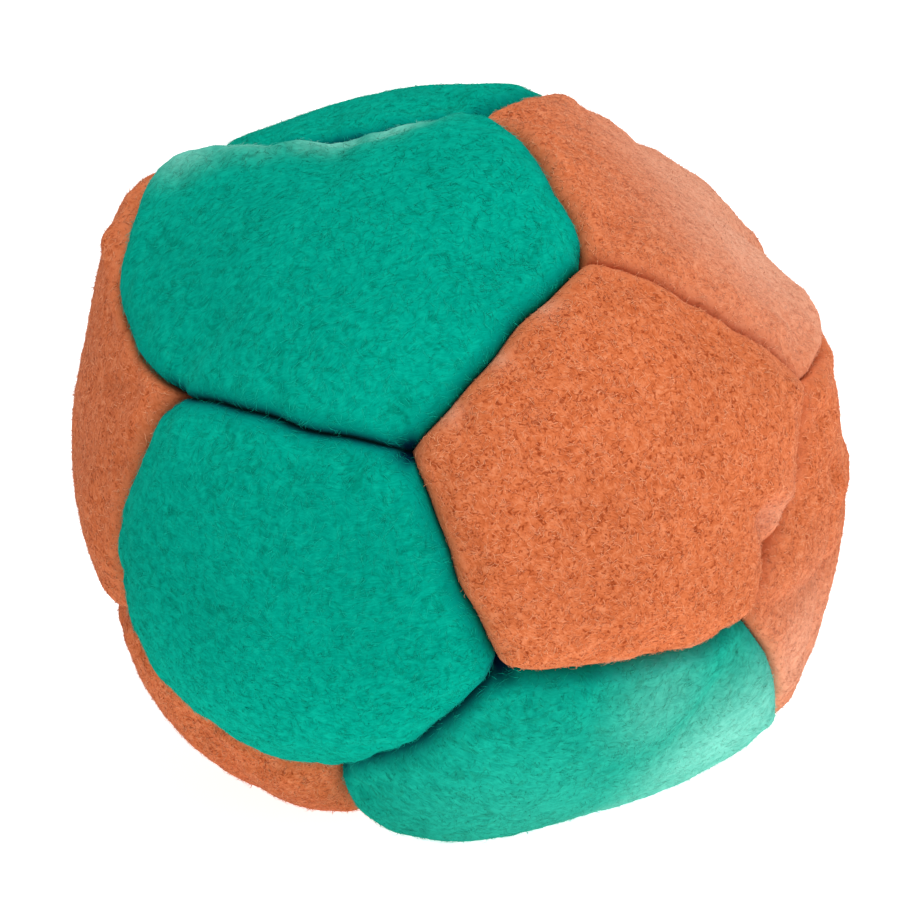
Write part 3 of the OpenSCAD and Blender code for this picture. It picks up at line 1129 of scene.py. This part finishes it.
def stitch_line(panel, neighbour, share):
    """The stitch line on the face of the turned-in edge that is nearer to panel."""
    seam = seam_points(panel, neighbour, share)
    depth = ROLL_DEPTH + DIP_DEPTH + STITCH_DROP
    line = MIDDLE + seam - unit(seam) * depth
    line[:, 2] = np.maximum(line[:, 2], FLOOR_CLOTH)
    sideways = unit(AXES[panel] - AXES[neighbour])
    return line, sideways


def sewn_seam(panel, neighbour, by_hand=False):
    """Runs of thread on both faces, and a short run through the cloth at every hole."""
    holes = np.linspace(FIRST_HOLE, LAST_HOLE, STITCH_COUNT + 1)
    fine = np.linspace(FIRST_HOLE, LAST_HOLE, STITCH_COUNT * STITCH_STEPS + 1)
    line, sideways = stitch_line(panel, neighbour, fine)
    stitch = (fine - FIRST_HOLE) * STITCH_COUNT / (LAST_HOLE - FIRST_HOLE)
    bulge = THREAD_SIDE + STITCH_BULGE * np.abs(np.sin(math.pi * stitch))
    runs = [line + sideways * (hand * bulge)[:, None] for hand in (-1, 1)]
    if by_hand:
        swing = np.cos(math.pi * np.clip(6 * np.abs(stitch % 1 - 0.5) - 2, 0, 1))
        turn = np.where(np.floor(stitch).astype(int) % 2, 1, -1)
        runs = [line + sideways * (turn * (swing + 1) / 2 * THREAD_SIDE)[:, None]]
    through, sideways = stitch_line(panel, neighbour, holes)
    runs += [np.array([at - sideways * THREAD_SIDE, at, at + sideways * THREAD_SIDE]) for at in through]
    return runs


def corner_link(panel, first, second):
    """The thread's way round a corner of a panel, from its seam with one neighbour to the next."""
    ring = NEIGHBOURS[panel]
    if ring[(ring.index(first) + 1) % 5] != second:
        first, second = second, first
    ends = []
    for neighbour, shares in ((first, (LAST_HOLE, 0.95)), (second, (0.05, FIRST_HOLE))):
        line, sideways = stitch_line(panel, neighbour, np.array(shares))
        ends.append(line + sideways * THREAD_SIDE)
    return np.concatenate(ends)


def knot(at, sideways):
    """One and three quarter turns of thread drawn tight."""
    turn = np.linspace(0, 3.5 * math.pi, 24)[:, None]
    upright = unit(at - MIDDLE)
    across = np.cross(sideways, upright)
    coil = np.cos(turn) * upright + np.sin(turn) * across
    return at + coil * KNOT_R + sideways * turn / turn.max() * 2 * THREAD_R


def links_of(node):
    if node == "belt_thread":
        return [(BELT[k], BELT[k - 1], BELT[k + 1]) for k in range(1, len(BELT) - 1)]
    hub = {"front_hub_thread": FRONT_HUB, "back_hub_thread": BACK_HUB}.get(node)
    return [(hub, NEIGHBOURS[hub][k - 1], NEIGHBOURS[hub][k]) for k in range(5)] if hub else []


def thread_piece(name, seams, links, by_hand=False):
    paths = [path for panel, neighbour in seams for path in sewn_seam(panel, neighbour, by_hand)]
    paths += [corner_link(*link) for link in links]
    if by_hand:
        ends, sideways = stitch_line(*seams[0], np.array([FIRST_HOLE, LAST_HOLE]))
        paths += [knot(end + sideways * (THREAD_SIDE + KNOT_R), sideways) for end in ends]
    points, faces = [], []
    for path in paths:
        ring_points, ring_faces = twisted_thread(path)
        shift = sum(len(block) for block in points)
        points.append(ring_points)
        faces += [[corner + shift for corner in face] for face in ring_faces]
    return piece_from(name, np.concatenate(points), faces)


# %% Thread finish
def thread_finish():
    shader = Shader("navy_thread")
    place = shader.node("TexCoord").outputs["Object"]
    fibres = shader.noise(place, 9000, 3)
    tone = shader.ramp(fibres, (0.3, colour(12, 22, 60)), (0.7, colour(30, 48, 104)))
    bumps = shader.node("Bump", {"Height": fibres, "Strength": 0.4, "Distance": 0.00004})
    return shader.finish(
        Base_Color=tone, Roughness=0.55, Specular_IOR_Level=0.4, Sheen_Weight=0.15,
        Normal=bumps.outputs["Normal"],
    )


# %% Sew every seam
FRONT_HUB = "top_front"
FRONT_PETALS = ["lower_front", "upper_front", "top_right", "top_back", "upper_left"]
BACK_HUB = "bottom_back"
BACK_PETALS = ["bottom_front", "lower_right", "upper_back", "lower_back", "bottom_left"]
BELT = [
    "top_back", "upper_back", "top_right", "lower_right", "upper_front",
    "bottom_front", "lower_front", "bottom_left", "upper_left", "lower_back",
]
THREADS = {
    "front_hub_thread": [(FRONT_HUB, petal) for petal in FRONT_PETALS],
    "back_hub_thread": [(BACK_HUB, petal) for petal in BACK_PETALS],
    "belt_thread": list(zip(BELT, BELT[1:])),
    "closing_thread": [(BELT[-1], BELT[0])],
}
for half, petals in (("front", FRONT_PETALS), ("back", BACK_PETALS)):
    for number in range(5):
        THREADS[f"{half}_side_thread_{number + 1}"] = [(petals[number], petals[(number + 1) % 5])]

navy = thread_finish()
for node, seams in THREADS.items():
    stitches = node.replace("_thread", "_stitches")
    piece = thread_piece(stitches, seams, links_of(node), by_hand=node == "closing_thread")
    piece.data.materials.append(navy)
    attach(piece, "root")
    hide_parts(node)
print(len(THREADS), "threads over", sum(len(seams) for seams in THREADS.values()), "seams")

# %% [markdown]
# ## The seed
# The filling is millet: round grains, packed tight against the cloth. Only the outer grains can ever be felt
# through it, so those are single grains, bedded on one closed mass that stands for the rest.

# %% Room for the seed
GRAIN_R = 1.05 * MM
GRAIN_COUNT = 2600
DEEPEST = 18 * MM
STEP_BACK = 0.3 * MM
BEDDING = 0.2 * MM


def even_directions(count):
    number = np.arange(count) + 0.5
    height = 1 - 2 * number / count
    turn = number * math.pi * (3 - math.sqrt(5))
    flat = np.sqrt(1 - height ** 2)
    return np.column_stack([flat * np.cos(turn), flat * np.sin(turn), height])


def room_inside(direction):
    """How far out from the middle a grain can lie in one direction without touching the cloth."""
    nearest = sorted(AXES, key=lambda name: -(direction @ AXES[name]))[:3]
    reach = SEAM_R
    while reach > DEEPEST:
        place = Vector(MIDDLE + direction * reach)
        clear = all(insides[name].find_nearest(place)[3] > GRAIN_R for name in nearest)
        if clear and place.z > 2 * GRAIN_R:
            ahead = insides[nearest[0]].ray_cast(place, Vector(direction))[0]
            behind = insides[nearest[0]].ray_cast(place, -Vector(direction))[0]
            if ahead is not None and behind is None or reach < SEAM_R - ALLOWANCE - 2 * MM:
                return reach
        reach -= STEP_BACK
    return DEEPEST


# %% Lay the grains
bpy.ops.object.select_all(action="DESELECT")
bpy.ops.mesh.primitive_ico_sphere_add(subdivisions=6, radius=1)
seed = bpy.context.object
seed.name = "seed_heap"
outwards = unit(read(seed))
write(seed, "position", MIDDLE + outwards * np.array([[room_inside(d) - BEDDING] for d in outwards]))

bpy.ops.object.select_all(action="DESELECT")
bpy.ops.mesh.primitive_uv_sphere_add(segments=6, ring_count=4, radius=GRAIN_R)
grain = bpy.context.object
GRAIN_POINTS = read(grain)
GRAIN_FACES = [list(face.vertices) for face in grain.data.polygons]
bpy.data.objects.remove(grain)

directions = even_directions(GRAIN_COUNT)
reaches = np.array([room_inside(direction) for direction in directions])
random = np.random.default_rng(7)
squash = random.uniform(0.84, 1.0, (GRAIN_COUNT, 1, 3))
grain_points = MIDDLE + (directions * reaches[:, None])[:, None] + GRAIN_POINTS * squash
grain_faces = repeat_faces(GRAIN_FACES, len(GRAIN_POINTS), GRAIN_COUNT)
grains = piece_from("grains", grain_points.reshape(-1, 3), grain_faces)
only(seed, grains)
bpy.ops.object.join()
bpy.ops.object.shade_smooth()
print("grains lie", round(reaches.min() / MM, 1), "to", round(reaches.max() / MM, 1), "mm from the middle")


# %% Seed finish
def seed_finish():
    shader = Shader("millet")
    place = shader.node("TexCoord").outputs["Object"]
    per_grain = shader.node("TexVoronoi", {"Vector": place, "Scale": 450}).outputs["Color"]
    split = shader.node("SeparateColor", {"Color": per_grain}).outputs["Red"]
    straws = [(0.0, colour(196, 160, 96)), (0.6, colour(226, 196, 132)), (1.0, colour(238, 216, 164))]
    tone = shader.ramp(split, *straws)
    husk = shader.noise(place, 3000, 2)
    bumps = shader.node("Bump", {"Height": husk, "Strength": 0.3, "Distance": 0.00005})
    return shader.finish(
        Base_Color=tone, Roughness=0.45, Specular_IOR_Level=0.45, Coat_Weight=0.1,
        Normal=bumps.outputs["Normal"],
    )


seed.data.materials.append(seed_finish())
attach(seed, "root")
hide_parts("seed_filling")

# %% [markdown]
# ## What each sheet was cut to
# A panel is cut flat, as a pentagon with its allowance: the corners of the cut lie further out than the corners
# of the sewn panel by the allowance over the cosine of 36 degrees. The filling holds it stretched.

for panel, piece in pieces.items():
    nap = bpy.data.objects[panel + "_nap"]
